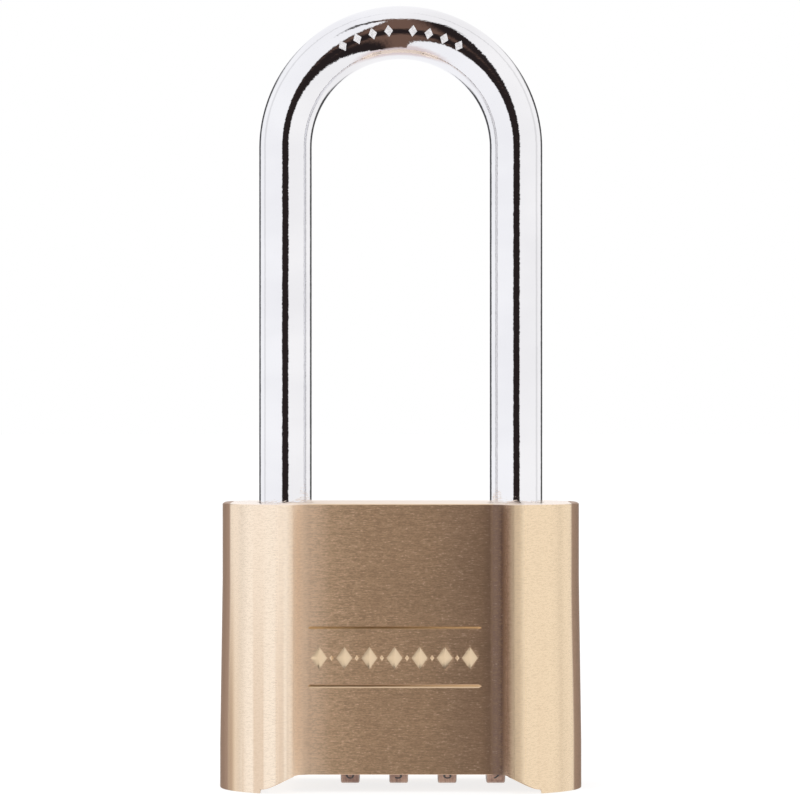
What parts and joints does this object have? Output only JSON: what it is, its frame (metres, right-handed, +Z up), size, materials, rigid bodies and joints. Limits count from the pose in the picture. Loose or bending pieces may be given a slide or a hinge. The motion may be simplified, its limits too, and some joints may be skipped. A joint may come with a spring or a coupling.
{
  "type": "combination padlock",
  "caption": "Combination padlock with a brushed brass body, rounded pillars, a long round chromed shackle and number dials set in an arch in its underside.",
  "frame": {"origin": "centre of the two feet, on the plane that the body stands on", "axes": "+Z up along the shackle's legs, +X to the right seen from the front, -Y towards the front"},
  "size_m": [0.052, 0.0292, 0.1129],
  "materials": {
    "body_brass": "brushed",
    "dial_brass": "brushed, with dark numbers",
    "frame_brass": "satin",
    "shackle_chrome": "polished",
    "hard_steel": "satin",
    "spring_steel": "satin"
  },
  "bodies": {
    "lock_case": {"case_body": "body_brass", "dial_frame": "frame_brass", "frame_screw_front": "hard_steel", "frame_screw_back": "hard_steel", "heel_retaining_pin": "hard_steel", "locking_bar_spring": "spring_steel", "hub_return_spring": "spring_steel", "detent_spring": "spring_steel"},
    "shackle": {"shackle": "shackle_chrome"},
    "locking_bar": {"locking_bar": "hard_steel"},
    "reset_cam": {"reset_cam": "hard_steel"},
    "spindle": {"spindle": "hard_steel"},
    "dial_1": {"dial_1": "dial_brass"},
    "dial_2": {"dial_2": "dial_brass"},
    "dial_3": {"dial_3": "dial_brass"},
    "dial_4": {"dial_4": "dial_brass"},
    "hub_1": {"hub_1": "hard_steel"},
    "hub_2": {"hub_2": "hard_steel"},
    "hub_3": {"hub_3": "hard_steel"},
    "hub_4": {"hub_4": "hard_steel"}
  },
  "joints": [
    {"name": "shackle_lift", "type": "slide", "parent": "lock_case", "child": "shackle", "axis": [0, 0, 1], "range_m": [0, 0.0115]},
    {"name": "locking_bar_slide", "type": "slide", "parent": "lock_case", "child": "locking_bar", "axis": [-1, 0, 0], "range_m": [-0.0019, 0], "stiffness_N_per_m": 150, "springref_m": -0.004, "deforming": ["locking_bar_spring"]},
    {"name": "dial_1_turn", "type": "hinge", "parent": "lock_case", "child": "dial_1", "pos_m": [-0.0073, 0, 0.00845], "axis": [1, 0, 0], "continuous": true},
    {"name": "dial_2_turn", "type": "hinge", "parent": "lock_case", "child": "dial_2", "pos_m": [-0.0003, 0, 0.00845], "axis": [1, 0, 0], "continuous": true},
    {"name": "dial_3_turn", "type": "hinge", "parent": "lock_case", "child": "dial_3", "pos_m": [0.0067, 0, 0.00845], "axis": [1, 0, 0], "continuous": true},
    {"name": "dial_4_turn", "type": "hinge", "parent": "lock_case", "child": "dial_4", "pos_m": [0.0137, 0, 0.00845], "axis": [1, 0, 0], "continuous": true},
    {"name": "reset_cam_turn", "type": "hinge", "parent": "lock_case", "child": "reset_cam", "pos_m": [0.0215, 0, 0.00845], "axis": [1, 0, 0], "range_deg": [0, 90]},
    {"name": "spindle_shift", "type": "slide", "parent": "lock_case", "child": "spindle", "axis": [1, 0, 0], "range_m": [0, 0.00115], "deforming": ["hub_return_spring"]},
    {"name": "hub_1_shift", "type": "slide", "parent": "dial_1", "child": "hub_1", "axis": [1, 0, 0], "range_m": [0, 0.00115]},
    {"name": "hub_2_shift", "type": "slide", "parent": "dial_2", "child": "hub_2", "axis": [1, 0, 0], "range_m": [0, 0.00115]},
    {"name": "hub_3_shift", "type": "slide", "parent": "dial_3", "child": "hub_3", "axis": [1, 0, 0], "range_m": [0, 0.00115]},
    {"name": "hub_4_shift", "type": "slide", "parent": "dial_4", "child": "hub_4", "axis": [1, 0, 0], "range_m": [0, 0.00115]}
  ],
  "couplings": [
    {"joint": "reset_cam_turn", "follows": "spindle_shift", "rad_per_m": 1365.9},
    {"joint": "hub_1_shift", "follows": "spindle_shift", "ratio": 1},
    {"joint": "hub_2_shift", "follows": "spindle_shift", "ratio": 1},
    {"joint": "hub_3_shift", "follows": "spindle_shift", "ratio": 1},
    {"joint": "hub_4_shift", "follows": "spindle_shift", "ratio": 1}
  ]
}
